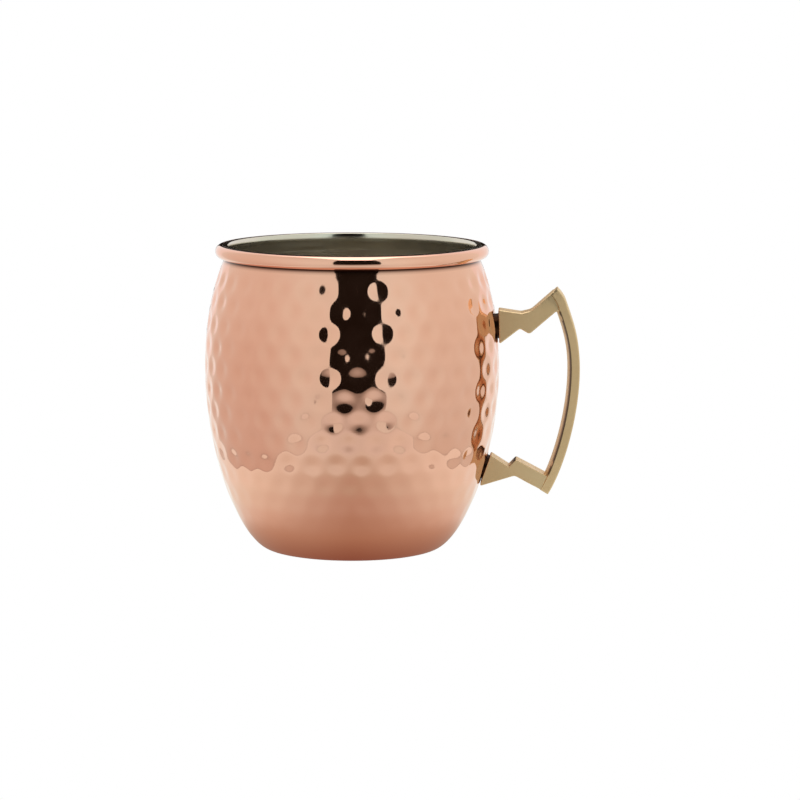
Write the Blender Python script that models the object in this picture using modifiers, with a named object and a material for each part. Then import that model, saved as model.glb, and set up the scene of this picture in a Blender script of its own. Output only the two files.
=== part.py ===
"""A barrel-shaped copper mug with a stainless liner and a zig-zag cast brass handle.

Metres, +Z up. The origin is the centre of the base's underside, on the mug's axis, and the handle points
along +X. The copper body and the steel liner are turned sheets whose top edges curl towards each other and
meet in one hollow bead: copper outside, steel inside. The air gap between them hides the two screws that
pull the handle's feet against the wall.
"""

import math

import bmesh
import bpy
from mathutils import Matrix, Vector
from mathutils.geometry import interpolate_bezier

MM = 0.001
TOUCH_GAP = 0.3 * MM
TURN_STEPS = 48
TURN_MERGE = 0.01 * MM

# The copper body's outer surface: a flat base, a barrel and a neck that leans in under the rolled bead.
HEIGHT = 100.0 * MM
COPPER_SHEET = 0.7 * MM
BASE_FLAT_RADIUS = 27.3 * MM
BASE_CORNER_HANDLE = 8.2 * MM
BELLY_RADIUS = 48.0 * MM
BELLY_Z = 59.1 * MM
BELLY_HANDLE_DOWN = 29.6 * MM
BELLY_HANDLE_UP = 16.0 * MM
NECK_RADIUS = 42.1 * MM
NECK_Z = 94.5 * MM
NECK_LEAN = math.radians(18.9)
NECK_HANDLE = 11.4 * MM
LOWER_WALL_POINTS = 12
UPPER_WALL_POINTS = 7

# The bead's outer half is the copper sheet, rolled out of a small crease at the neck and up to a seam at the
# top. Angles round the bead are measured from straight outwards.
BEAD_RADIUS = 2.15 * MM
BEAD_CENTRE = (42.5 * MM, HEIGHT - BEAD_RADIUS)
COPPER_SEAM_EDGE = math.radians(91.5)
BEAD_POINTS = 9
CREASE_RADIUS = 0.4 * MM
CREASE_POINTS = 4

# The stainless liner: a second, narrower barrel whose lip curls out over the bead's inner half to the seam.
STEEL_SHEET = 0.5 * MM
LINER_SEAM_EDGE = math.radians(101.5)
LINER_LIP_POINTS = 6
LINER_FLOOR_Z = COPPER_SHEET + TOUCH_GAP
LINER_FLAT_RADIUS = 23.0 * MM
LINER_CORNER_HANDLE = 9.5 * MM
LINER_BELLY_RADIUS = 44.2 * MM
LINER_BELLY_Z = 56.0 * MM
LINER_HANDLE_DOWN = 28.0 * MM
LINER_HANDLE_UP = 16.0 * MM
LINER_NECK_HANDLE = 13.0 * MM

# The handle's arms are flat castings seen from the side: (x, z, corner radius) in millimetres.
UPPER_ARM = (
    (47.9, 79.1, 0.4),
    (55.4, 78.0, 3.0),
    (58.6, 78.8, 4.0),
    (65.9, 85.3, 0.0),
    (69.0, 81.0, 0.0),
    (68.0, 79.0, 0.0),
    (66.4, 78.4, 0.0),
    (58.1, 71.2, 1.2),
    (55.0, 73.0, 1.0),
    (48.3, 67.8, 0.4),
)
LOWER_ARM = (
    (45.7, 31.2, 0.4),
    (51.6, 27.4, 0.2),
    (53.9, 29.8, 0.7),
    (64.6, 24.2, 0.0),
    (66.0, 24.0, 0.0),
    (63.6, 19.2, 0.0),
    (57.8, 22.2, 4.0),
    (53.6, 24.5, 2.0),
    (42.1, 20.9, 0.4),
)
ARM_DEPTH = 8.4 * MM
ARM_EDGE = 0.35 * MM
ARM_ARC_STEPS = 4

# The grip is a band whose outer edge bows from the upper tip, past the belly, to the lower tip.
GRIP_TOP = (67.1 * MM, 86.1 * MM)
GRIP_SHOULDER = (70.0 * MM, 81.7 * MM)
GRIP_BELLY = (74.6 * MM, 59.5 * MM)
GRIP_FOOT = (64.5 * MM, 18.4 * MM)
GRIP_TOP_SLOPE = math.radians(42)
GRIP_SHOULDER_SLOPE = math.radians(19)
GRIP_FOOT_SLOPE = math.radians(32)
GRIP_CORNER_HANDLE = 2.0 * MM
GRIP_SHOULDER_HANDLE_DOWN = 7.0 * MM
GRIP_BELLY_HANDLE_UP = 10.0 * MM
GRIP_BELLY_HANDLE_DOWN = 16.0 * MM
GRIP_FOOT_HANDLE = 8.7 * MM
GRIP_DEPTH = 10.0 * MM
GRIP_BAND = 2.8 * MM
GRIP_SWELL = 1.25 * MM
GRIP_EDGE = 0.35 * MM
GRIP_SECTION_STEPS = 8
SHOULDER_STEPS = 4
BOW_STEPS = 12

# Each foot has a round boss that meets the wall, and a blind hole for its screw. Distances along a screw are
# measured from the wall's outer surface, and are positive into the handle.
UPPER_FIXING_Z = 73.4 * MM
LOWER_FIXING_Z = 27.0 * MM
BOSS_RADIUS = 4.1 * MM
BOSS_END = 2.5 * MM
SCREW_RADIUS = 1.5 * MM
SCREW_HOLE_RADIUS = SCREW_RADIUS + TOUCH_GAP
SCREW_TIP = 4.8 * MM
BLIND_HOLE_END = 5.2 * MM
SCREW_TIP_CHAMFER = 0.4 * MM
HEAD_RADIUS = 2.9 * MM
HEAD_HEIGHT = 1.1 * MM
HEAD_ROUNDING = 0.5 * MM
SLOT_WIDTH = 0.8 * MM
SLOT_DEPTH = 0.5 * MM
WASHER_RADIUS = 3.5 * MM
WASHER_THICKNESS = 0.5 * MM
WASHER_WALL_GAP = 0.35 * MM
WASHER_OUTER_FACE = -(COPPER_SHEET + WASHER_WALL_GAP)
WASHER_INNER_FACE = WASHER_OUTER_FACE - WASHER_THICKNESS
HEAD_SEAT = WASHER_INNER_FACE - TOUCH_GAP
ROUND_STEPS = 24

COPPER = ("copper", (0.82, 0.45, 0.33), 0.16)
STEEL = ("stainless_steel", (0.56, 0.55, 0.52), 0.28)
BRASS = ("cast_brass", (0.62, 0.49, 0.29), 0.38)
FASTENER_STEEL = ("fastener_steel", (0.50, 0.50, 0.50), 0.35)


def clear_scene():
    for obj in list(bpy.data.objects):
        bpy.data.objects.remove(obj, do_unlink=True)


def new_collection(name):
    collection = bpy.data.collections.new(name)
    bpy.context.scene.collection.children.link(collection)
    return collection


def metal(name, colour, roughness):
    material = bpy.data.materials.new(name)
    material.use_nodes = True
    shader = material.node_tree.nodes["Principled BSDF"]
    shader.inputs["Base Color"].default_value = (*colour, 1.0)
    shader.inputs["Metallic"].default_value = 1.0
    shader.inputs["Roughness"].default_value = roughness
    return material


def add_object(name, mesh, collection, material=None):
    obj = bpy.data.objects.new(name, mesh)
    collection.objects.link(obj)
    if material:
        mesh.materials.append(material)
    return obj


def mesh_from(work, name):
    mesh = bpy.data.meshes.new(name)
    work.to_mesh(mesh)
    work.free()
    return mesh


def hide_as_cutter(obj):
    obj.hide_render = True
    obj.display_type = "WIRE"


def boolean(target, other, operation):
    modifier = target.modifiers.new(f"{operation.lower()}_{other.name}", "BOOLEAN")
    modifier.operation = operation
    modifier.object = other
    modifier.solver = "EXACT"


def bezier(start, start_handle, end_handle, end, count):
    """Points of one cubic stretch in a plane, both ends included."""
    corners = [Vector(p) for p in (start, start_handle, end_handle, end)]
    return [tuple(p) for p in interpolate_bezier(*corners, count)]


def step(point, distance, angle):
    """The point at a distance from another, at an angle from straight down, turning outwards."""
    return (point[0] + distance * math.sin(angle), point[1] - distance * math.cos(angle))


def barrel(neck, neck_lean, neck_handle, belly, handle_up, handle_down, flat_edge, corner_handle):
    """The barrel's outline from neck to the edge of its flat base, then in to the axis."""
    upper = bezier(
        neck, step(neck, neck_handle, neck_lean), (belly[0], belly[1] + handle_up), belly, UPPER_WALL_POINTS
    )
    lower = bezier(
        belly,
        (belly[0], belly[1] - handle_down),
        (flat_edge[0] + corner_handle, flat_edge[1]),
        flat_edge,
        LOWER_WALL_POINTS,
    )
    return upper + lower[1:] + [(0.0, flat_edge[1])]


def body_wall():
    """The copper wall's outer outline below the bead."""
    return barrel(
        neck=(NECK_RADIUS, NECK_Z),
        neck_lean=NECK_LEAN,
        neck_handle=NECK_HANDLE,
        belly=(BELLY_RADIUS, BELLY_Z),
        handle_up=BELLY_HANDLE_UP,
        handle_down=BELLY_HANDLE_DOWN,
        flat_edge=(BASE_FLAT_RADIUS, 0.0),
        corner_handle=BASE_CORNER_HANDLE,
    )


def arc(centre, radius, start, end, count):
    angles = [start + (end - start) * i / (count - 1) for i in range(count)]
    return [(centre.x + radius * math.cos(a), centre.y + radius * math.sin(a)) for a in angles]


def rolled_bead():
    """The copper's outer surface from the seam, round the bead, then the crease that runs into the neck."""
    bead = Vector(BEAD_CENTRE)
    neck = Vector((NECK_RADIUS, NECK_Z))
    up_the_neck = Vector((-math.sin(NECK_LEAN), math.cos(NECK_LEAN)))
    outward = Vector((math.cos(NECK_LEAN), math.sin(NECK_LEAN)))
    beside_neck = neck + outward * CREASE_RADIUS - bead
    along = beside_neck.dot(up_the_neck)
    across_squared = beside_neck.length_squared - along**2
    to_touch = -along - math.sqrt((BEAD_RADIUS + CREASE_RADIUS) ** 2 - across_squared)
    crease = bead + beside_neck + up_the_neck * to_touch
    bead_end = math.atan2(crease.y - bead.y, crease.x - bead.x)
    return arc(bead, BEAD_RADIUS, COPPER_SEAM_EDGE, bead_end, BEAD_POINTS) + arc(
        crease, CREASE_RADIUS, bead_end + math.pi, NECK_LEAN + math.pi, CREASE_POINTS
    )[1:]


def liner_wall():
    """The liner's hidden side: from the seam, round the inside of the bead, then down to the axis."""
    lip = arc(Vector(BEAD_CENTRE), BEAD_RADIUS - STEEL_SHEET, LINER_SEAM_EDGE, math.pi, LINER_LIP_POINTS)
    return lip[:-1] + barrel(
        neck=lip[-1],
        neck_lean=0.0,
        neck_handle=LINER_NECK_HANDLE,
        belly=(LINER_BELLY_RADIUS, LINER_BELLY_Z),
        handle_up=LINER_HANDLE_UP,
        handle_down=LINER_HANDLE_DOWN,
        flat_edge=(LINER_FLAT_RADIUS, LINER_FLOOR_Z),
        corner_handle=LINER_CORNER_HANDLE,
    )


def turned_sheet(name, outline, thickness, collection, material):
    """A sheet turned about Z from its outer outline, which runs from the mouth down to the axis."""
    mesh = bpy.data.meshes.new(name)
    mesh.from_pydata([(r, 0.0, z) for r, z in outline], [(i, i + 1) for i in range(len(outline) - 1)], [])
    obj = add_object(name, mesh, collection, material)
    turn = obj.modifiers.new("turn", "SCREW")
    turn.steps = turn.render_steps = TURN_STEPS
    turn.use_merge_vertices = True
    turn.merge_threshold = TURN_MERGE
    turn.use_smooth_shade = True
    sheet = obj.modifiers.new("sheet", "SOLIDIFY")
    sheet.thickness = thickness
    sheet.offset = -1.0
    sheet.use_even_offset = True
    return obj


def wall_place(height):
    """A matrix at the wall on the handle's side, with +Z along the wall's outward normal."""
    wall = body_wall()
    upper, lower = next((a, b) for a, b in zip(wall, wall[1:]) if a[1] >= height >= b[1])
    share = (upper[1] - height) / (upper[1] - lower[1])
    radius = upper[0] + share * (lower[0] - upper[0])
    normal = Vector((upper[1] - lower[1], 0.0, lower[0] - upper[0])).normalized()
    side = Vector((0.0, 1.0, 0.0))
    turn = Matrix((side.cross(normal), side, normal)).transposed().to_4x4()
    return Matrix.Translation((radius, 0.0, height)) @ turn


def cylinder_between(name, radius, low, high, place, collection, material=None):
    """A cylinder along a fixing's axis, from one distance to another."""
    work = bmesh.new()
    bmesh.ops.create_cone(
        work, cap_ends=True, segments=ROUND_STEPS, radius1=radius, radius2=radius, depth=high - low
    )
    bmesh.ops.translate(work, verts=work.verts, vec=(0.0, 0.0, (low + high) / 2))
    obj = add_object(name, mesh_from(work, name), collection, material)
    obj.matrix_world = place
    return obj


def rounded(corners):
    """The outline in metres, with an arc of each corner's radius in place of the corner."""
    points = []
    for i, (x, z, radius) in enumerate(corners):
        here = Vector((x, z)) * MM
        before = (Vector(corners[i - 1][:2]) * MM - here).normalized()
        after = (Vector(corners[(i + 1) % len(corners)][:2]) * MM - here).normalized()
        if radius == 0.0:
            points.append(here)
            continue
        half = before.angle(after) / 2
        reach = radius * MM / math.tan(half)
        centre = here + (before + after).normalized() * (radius * MM / math.sin(half))
        first = here + before * reach - centre
        last = here + after * reach - centre
        start = math.atan2(first.y, first.x)
        sweep = math.remainder(math.atan2(last.y, last.x) - start, 2 * math.pi)
        for k in range(ARM_ARC_STEPS + 1):
            angle = start + sweep * k / ARM_ARC_STEPS
            points.append(centre + Vector((math.cos(angle), math.sin(angle))) * radius * MM)
    return points


def flat_casting(name, corners, collection):
    """A flat outline in the XZ plane, extruded along Y to the arms' depth, with its edges eased."""
    work = bmesh.new()
    face = work.faces.new([work.verts.new((p.x, -ARM_DEPTH / 2, p.y)) for p in rounded(corners)])
    extruded = bmesh.ops.extrude_face_region(work, geom=[face])["geom"]
    moved = [v for v in extruded if isinstance(v, bmesh.types.BMVert)]
    bmesh.ops.translate(work, verts=moved, vec=(0.0, ARM_DEPTH, 0.0))
    bmesh.ops.recalc_face_normals(work, faces=work.faces)
    obj = add_object(name, mesh_from(work, name), collection)
    ease = obj.modifiers.new("eased_edges", "BEVEL")
    ease.width = ARM_EDGE
    ease.segments = 2
    ease.limit_method = "ANGLE"
    ease.angle_limit = math.radians(60)
    return obj


def grip_edge():
    """The grip's outer edge in the XZ plane, from the upper tip to the lower tip."""
    shoulder_top = step(GRIP_SHOULDER, -GRIP_CORNER_HANDLE, GRIP_SHOULDER_SLOPE)
    top = bezier(
        GRIP_TOP,
        step(GRIP_TOP, GRIP_CORNER_HANDLE, GRIP_TOP_SLOPE),
        shoulder_top,
        GRIP_SHOULDER,
        SHOULDER_STEPS,
    )
    bow = bezier(
        GRIP_SHOULDER,
        step(GRIP_SHOULDER, GRIP_SHOULDER_HANDLE_DOWN, GRIP_SHOULDER_SLOPE),
        (GRIP_BELLY[0], GRIP_BELLY[1] + GRIP_BELLY_HANDLE_UP),
        GRIP_BELLY,
        BOW_STEPS,
    )
    tail = bezier(
        GRIP_BELLY,
        (GRIP_BELLY[0], GRIP_BELLY[1] - GRIP_BELLY_HANDLE_DOWN),
        step(GRIP_FOOT, -GRIP_FOOT_HANDLE, -GRIP_FOOT_SLOPE),
        GRIP_FOOT,
        BOW_STEPS,
    )
    return top + bow[1:] + tail[1:]


def grip_section():
    """The band's section, (distance in from the outer edge, y): flat outside, swelling to the fingers."""
    half = GRIP_DEPTH / 2
    ease = GRIP_EDGE
    outer = [(ease, -half), (0.0, ease - half), (0.0, half - ease), (ease, half)]
    swell = []
    for k in range(GRIP_SECTION_STEPS + 1):
        y = half - GRIP_DEPTH * k / GRIP_SECTION_STEPS
        swell.append((GRIP_BAND + GRIP_SWELL * (1 - (y / half) ** 2), y))
    return outer + swell


def grip_band(name, collection):
    """The band, lofted square to its outer edge."""
    edge = [Vector(p) for p in grip_edge()]
    section = grip_section()
    work = bmesh.new()
    rings = []
    for i, point in enumerate(edge):
        along = (edge[min(i + 1, len(edge) - 1)] - edge[max(i - 1, 0)]).normalized()
        inward = Vector((along.y, -along.x))
        inward = inward if inward.x < 0 else -inward
        rings.append(
            [work.verts.new((point.x + d * inward.x, y, point.y + d * inward.y)) for d, y in section]
        )
    for ring, following in zip(rings, rings[1:]):
        for k in range(len(section)):
            after = (k + 1) % len(section)
            work.faces.new((ring[k], ring[after], following[after], following[k]))
    work.faces.new(rings[0])
    work.faces.new(rings[-1])
    bmesh.ops.recalc_face_normals(work, faces=work.faces)
    return add_object(name, mesh_from(work, name), collection)


def make_handle(places, collection, cutters, material):
    """Two flat arms, the grip band and a boss on each foot, joined, with a blind hole for each screw."""
    handle = flat_casting("handle", UPPER_ARM, collection)
    handle.data.materials.append(material)
    lower_arm = flat_casting("lower_arm_shape", LOWER_ARM, cutters)
    band = grip_band("grip_band_shape", cutters)
    hide_as_cutter(lower_arm)
    hide_as_cutter(band)
    boolean(handle, band, "UNION")
    boolean(handle, lower_arm, "UNION")
    for name, place in places.items():
        boss = cylinder_between(f"{name}_boss_shape", BOSS_RADIUS, TOUCH_GAP, BOSS_END, place, cutters)
        hole = cylinder_between(
            f"{name}_blind_hole", SCREW_HOLE_RADIUS, -BOSS_END, BLIND_HOLE_END, place, cutters
        )
        hide_as_cutter(boss)
        hide_as_cutter(hole)
        boolean(handle, boss, "UNION")
        boolean(handle, hole, "DIFFERENCE")
    return handle


def make_body(places, collection, cutters, material):
    """The copper sheet, with a clearance hole for each screw."""
    body = turned_sheet("copper_body", rolled_bead() + body_wall(), COPPER_SHEET, collection, material)
    for name, place in places.items():
        hole = cylinder_between(
            f"{name}_wall_hole", SCREW_HOLE_RADIUS, -2 * COPPER_SHEET, COPPER_SHEET, place, cutters
        )
        hide_as_cutter(hole)
        boolean(body, hole, "DIFFERENCE")
    return body


def make_screw(name, place, collection, cutters, material):
    """A low slotted screw: its head inside the cup wall, its shank through the wall into the foot."""
    outline = [
        (0.0, HEAD_SEAT - HEAD_HEIGHT),
        (HEAD_RADIUS - HEAD_ROUNDING, HEAD_SEAT - HEAD_HEIGHT),
        (HEAD_RADIUS, HEAD_SEAT - HEAD_HEIGHT + HEAD_ROUNDING),
        (HEAD_RADIUS, HEAD_SEAT),
        (SCREW_RADIUS, HEAD_SEAT),
        (SCREW_RADIUS, SCREW_TIP - SCREW_TIP_CHAMFER),
        (SCREW_RADIUS - SCREW_TIP_CHAMFER, SCREW_TIP),
        (0.0, SCREW_TIP),
    ]
    outline.reverse()
    mesh = bpy.data.meshes.new(name)
    mesh.from_pydata([(r, 0.0, z) for r, z in outline], [(i, i + 1) for i in range(len(outline) - 1)], [])
    screw = add_object(name, mesh, collection, material)
    screw.matrix_world = place
    turn = screw.modifiers.new("turn", "SCREW")
    turn.steps = turn.render_steps = ROUND_STEPS
    turn.use_merge_vertices = True
    turn.merge_threshold = TURN_MERGE
    work = bmesh.new()
    bmesh.ops.create_cube(work, size=1.0)
    bmesh.ops.scale(work, verts=work.verts, vec=(4 * HEAD_RADIUS, SLOT_WIDTH, 2 * SLOT_DEPTH))
    bmesh.ops.translate(work, verts=work.verts, vec=(0.0, 0.0, HEAD_SEAT - HEAD_HEIGHT))
    slot = add_object(f"{name}_slot", mesh_from(work, f"{name}_slot"), cutters)
    slot.matrix_world = place
    hide_as_cutter(slot)
    boolean(screw, slot, "DIFFERENCE")
    return screw


def make_washer(name, place, collection, cutters, material):
    washer = cylinder_between(
        name, WASHER_RADIUS, WASHER_INNER_FACE, WASHER_OUTER_FACE, place, collection, material
    )
    hole = cylinder_between(
        f"{name}_hole", SCREW_HOLE_RADIUS, 2 * WASHER_INNER_FACE, 0.0, place, cutters
    )
    hide_as_cutter(hole)
    boolean(washer, hole, "DIFFERENCE")
    return washer


def main():
    clear_scene()
    parts = new_collection("copper_mug")
    cutters = new_collection("cutters")
    places = {"upper": wall_place(UPPER_FIXING_Z), "lower": wall_place(LOWER_FIXING_Z)}
    make_body(places, parts, cutters, metal(*COPPER))
    turned_sheet("steel_liner", liner_wall(), STEEL_SHEET, parts, metal(*STEEL))
    make_handle(places, parts, cutters, metal(*BRASS))
    fastener_steel = metal(*FASTENER_STEEL)
    for name, place in places.items():
        make_screw(f"{name}_handle_screw", place, parts, cutters, fastener_steel)
        make_washer(f"{name}_screw_washer", place, parts, cutters, fastener_steel)


main()
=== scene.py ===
# The looks of a hammered copper mug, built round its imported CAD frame.
#
# Metres, +Z up, +X towards the handle, in the CAD's own frame. Every turned piece is an outline of (radius,
# height) points, and every angle round the mug is measured from -Y, where the camera stands, towards +X.
import math
import random

import bmesh
import bpy
import numpy as np
from mathutils import Matrix, Vector

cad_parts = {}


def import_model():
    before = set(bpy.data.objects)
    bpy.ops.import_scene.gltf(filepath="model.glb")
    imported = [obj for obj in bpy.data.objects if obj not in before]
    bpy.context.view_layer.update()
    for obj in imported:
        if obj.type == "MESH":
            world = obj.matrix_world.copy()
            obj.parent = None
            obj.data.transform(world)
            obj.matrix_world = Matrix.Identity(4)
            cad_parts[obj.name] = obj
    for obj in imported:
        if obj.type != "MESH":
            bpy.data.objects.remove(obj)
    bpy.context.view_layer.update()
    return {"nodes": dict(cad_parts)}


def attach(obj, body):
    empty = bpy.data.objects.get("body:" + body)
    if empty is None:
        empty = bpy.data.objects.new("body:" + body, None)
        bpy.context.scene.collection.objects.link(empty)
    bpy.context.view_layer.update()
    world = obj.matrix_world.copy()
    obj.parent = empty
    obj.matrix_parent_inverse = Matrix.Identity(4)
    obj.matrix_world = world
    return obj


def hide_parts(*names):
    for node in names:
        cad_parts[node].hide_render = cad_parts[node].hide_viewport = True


MM = 0.001

# The copper shell's outer surface, as in the CAD: a flat base, a barrel, and a neck under the rolled bead.
HEIGHT = 100.0 * MM
COPPER_SHEET = 0.7 * MM
BASE_FLAT_RADIUS = 27.3 * MM
BASE_CORNER_HANDLE = 8.2 * MM
BELLY = (48.0 * MM, 59.1 * MM)
BELLY_HANDLE_DOWN = 29.6 * MM
BELLY_HANDLE_UP = 16.0 * MM
NECK = (42.1 * MM, 94.5 * MM)
NECK_LEAN = math.radians(18.9)
NECK_HANDLE = 11.4 * MM
BEAD_RADIUS = 2.15 * MM
BEAD_CENTRE = (42.5 * MM, HEIGHT - BEAD_RADIUS)
CREASE_RADIUS = 0.4 * MM

# The steel liner, on its hidden side.
STEEL_SHEET = 0.5 * MM
LINER_FLOOR_Z = 1.0 * MM
LINER_FLAT_RADIUS = 23.0 * MM
LINER_CORNER_HANDLE = 9.5 * MM
LINER_BELLY = (44.2 * MM, 56.0 * MM)
LINER_HANDLE_DOWN = 28.0 * MM
LINER_HANDLE_UP = 16.0 * MM
LINER_NECK_HANDLE = 13.0 * MM

# The hairline seam where steel meets copper at the top of the bead, and the liner's lip inside it.
SEAM = math.radians(94)
SEAM_HALF_GAP = 0.01 * MM
SEAM_EDGE = 0.03 * MM
LIP_TURN = math.radians(97)
LIP_CORNER = 0.3 * MM
LIP_HIDDEN_CORNER = 0.1 * MM
LIP_FLARE = math.radians(22)
LIP_SPREAD = 0.3 * MM
LIP_FLARE_HANDLE = 0.7 * MM

# Mesh fineness. The hammered wall has about a dozen points across one mark.
BEZIER_SAMPLES = 400
PROFILE_SAMPLES = 101
TURN_STEPS = 432
HAMMERED_SPACING = 0.68 * MM
PLAIN_SPACING = 1.6 * MM
HIDDEN_SPACING = 4.0 * MM
BEAD_SPACING = 0.28 * MM

# Round hammer marks in staggered rings, almost touching. Distances down the wall start at the neck. The
# lands between the marks stand a little proud of the CAD's plain wall, and the marks dip below it.
MARK_RINGS = 12
MARKS_PER_RING = 35
FIRST_RING = 5.5 * MM
RING_PITCH = 7.0 * MM
MARK_RADIUS = 4.1 * MM
RADIUS_SPREAD = (0.93, 1.05)
MARK_DEPTH = 0.50 * MM
DEPTH_SPREAD = (0.82, 1.1)
MARK_FLANK_POWER = 0.6
LAND_RISE = 0.25 * MM
RING_STRENGTH = (0.95, 1.0, 0.94, 0.94, 0.94, 1.0, 0.95, 0.8, 0.65, 0.5, 0.35, 0.18)
MARK_PHASE = math.radians(3.8)
RING_DRIFT = math.radians(0.45)
MARK_SHIFT_DOWN = 0.36 * MM
MARK_SHIFT_ROUND = 0.6 * MM
MARK_SEED = 1461

# Slow waves in the wall, (length down it, lobes round it, phase), fading out at the neck and the base.
WAVE_HEIGHT = 0.012 * MM
WAVES = ((23.0 * MM, 11, 0.4), (31.0 * MM, 17, 2.1), (17.0 * MM, 7, 4.0))
WAVE_FADE = ((0.0, 4.0 * MM, 80.0 * MM, 95.0 * MM), (0.0, 1.0, 1.0, 0.0))

# Painted shade darkens the crease under the bead: it reaches this far out of the crease, and fades over this
# distance.
CREASE_SHADE_REACH = 0.5 * MM
PAINTED_SHADE_FADE = 0.3 * MM

# The handle's arms seen from the side: (x, z, corner radius) in millimetres, as in the CAD.
UPPER_ARM = (
    (47.9, 79.1, 0.4),
    (55.4, 78.0, 3.0),
    (58.6, 78.8, 4.0),
    (65.9, 85.3, 0.0),
    (69.0, 81.0, 0.0),
    (68.0, 79.0, 0.0),
    (66.4, 78.4, 0.0),
    (58.1, 71.2, 1.2),
    (55.0, 73.0, 1.0),
    (48.3, 67.8, 0.4),
)
LOWER_ARM = (
    (45.7, 31.2, 0.4),
    (51.6, 27.4, 0.2),
    (53.9, 29.8, 0.7),
    (64.6, 24.2, 0.0),
    (66.0, 24.0, 0.0),
    (63.6, 19.2, 0.0),
    (57.8, 22.2, 4.0),
    (53.6, 24.5, 2.0),
    (42.1, 20.9, 0.4),
)
ARM_DEPTH = 8.4 * MM
CASTING_EDGE = 0.4 * MM
CASTING_EDGE_STEPS = 4
CASTING_EDGE_ANGLE = math.radians(50)
SHARP_ANGLE = math.radians(32)
ARC_STEPS = 8

# The grip band, lofted along its outer edge. Its depth narrows almost to the arms' depth at both tips. The
# hollow is the range of heights in which its inner side is free of the arms.
GRIP_TOP = (67.1 * MM, 86.1 * MM)
GRIP_SHOULDER = (70.0 * MM, 81.7 * MM)
GRIP_BELLY = (74.6 * MM, 59.5 * MM)
GRIP_FOOT = (64.5 * MM, 18.4 * MM)
GRIP_TOP_SLOPE = math.radians(42)
GRIP_SHOULDER_SLOPE = math.radians(19)
GRIP_FOOT_SLOPE = math.radians(32)
GRIP_CORNER_HANDLE = 2.0 * MM
GRIP_SHOULDER_HANDLE = 7.0 * MM
GRIP_BELLY_HANDLE_UP = 10.0 * MM
GRIP_BELLY_HANDLE_DOWN = 16.0 * MM
GRIP_FOOT_HANDLE = 8.7 * MM
GRIP_HOLLOW = (24.6 * MM, 78.6 * MM)
GRIP_DEPTH = 10.0 * MM
GRIP_TIP_DEPTH = 8.5 * MM
GRIP_TAPER_LENGTH = 12.0 * MM
GRIP_TAPER_POWER = 0.7
GRIP_BAND = 2.8 * MM
GRIP_SWELL = 1.25 * MM
GRIP_SPACING = 0.8 * MM
GRIP_CORNER_STEPS = 4
GRIP_SWELL_STEPS = 14

# A round boss stands each foot off the wall, and its blind hole takes the screw.
UPPER_FIXING_Z = 73.4 * MM
LOWER_FIXING_Z = 27.0 * MM
BOSS_RADIUS = 4.1 * MM
BOSS_INTO_WALL = 0.4 * MM
BOSS_END = 2.5 * MM
SCREW_HOLE_RADIUS = 1.8 * MM
BLIND_HOLE_END = 5.2 * MM
ROUND_STEPS = 48

# Painted shade on the handle. A point this near a surface counts as on it. The shade starts just outside the
# grip's inner corner and fades over its swell. On the lower arm's riser it spans a share of the way up, on
# points that aren't turned to the front or back.
TOUCH = 0.03 * MM
INNER_CORNER_REACH = 0.1 * MM
INNER_FADE_START = 0.25 * MM
INNER_FADE_LENGTH = 0.5 * MM
RISER_SPAN = (0.1, 0.95)
RISER_REACH = 0.3 * MM
FRONT_FACING = 0.8

# Colours of the metals: two shades that cloud into each other, then hollows, and painted shade.
COPPER_LIGHT = (0.85, 0.475, 0.345)
COPPER_DEEP = (0.83, 0.445, 0.315)
COPPER_HOLLOW = (0.80, 0.42, 0.29)
COPPER_PAINTED_SHADE = (0.05, 0.012, 0.006)
STEEL_LIGHT = (0.68, 0.63, 0.53)
STEEL_DEEP = (0.63, 0.58, 0.485)
BRASS_LIGHT = (0.70, 0.505, 0.29)
BRASS_DEEP = (0.66, 0.475, 0.265)
BRASS_PAINTED_SHADE = (0.03, 0.012, 0.006)
FASTENER_LIGHT = (0.54, 0.54, 0.53)
FASTENER_DEEP = (0.48, 0.48, 0.475)

# The middle of a noise's range, wide and narrow, and the heights between which the liner's polish builds up.
NOISE_SPAN = (0.3, 0.7)
CLOUD_SPAN = (0.35, 0.65)
POLISH_SPAN = (91.0 * MM, 97.0 * MM)

# The camera looks at a point on the mug's axis. Shifts are shares of the picture's width.
CAMERA_AZIMUTH = math.radians(3.3)
CAMERA_ELEVATION = math.radians(7.92)
CAMERA_DISTANCE = 1.1
CAMERA_TARGET = Vector((0.0, 0.0, 0.05))
CAMERA_LENS = 150.55
CAMERA_SHIFT = (0.0599, -0.0055)

# The studio, in a frame turned with the camera: (x, y) on the floor. The cards show only in reflections.
LEFT_CARD = ((-0.048, -0.192), (-0.118, 0.083))
RIGHT_CARD = ((0.076, -0.192), (0.118, 0.057))
CARD_HEIGHT = 0.42
CARD_LIFT = 0.05 * MM
CARD_COLUMNS = 25
CARD_FOOT_ROWS = (0.0, 1.5 * MM, 3.0 * MM)
CARD_FIRST_ROW = 10.0 * MM
CARD_ROWS = 30
FRONT_DARK = ((-0.22, -0.39), (0.26, -0.39))
FRONT_DARK_HEIGHT = 0.64
BACK_DARK = ((-0.12, 0.60), (0.12, 0.60))
BACK_DARK_HEIGHT = 0.60
BLACK = (0.012, 0.009, 0.007)
FLOOR_HALF_SIDE = 4.0
SKY_STRENGTH = (1.0, 2.4)
SOFT_BOX_EDGE = (math.sin(math.radians(45)), math.sin(math.radians(68)))

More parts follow.
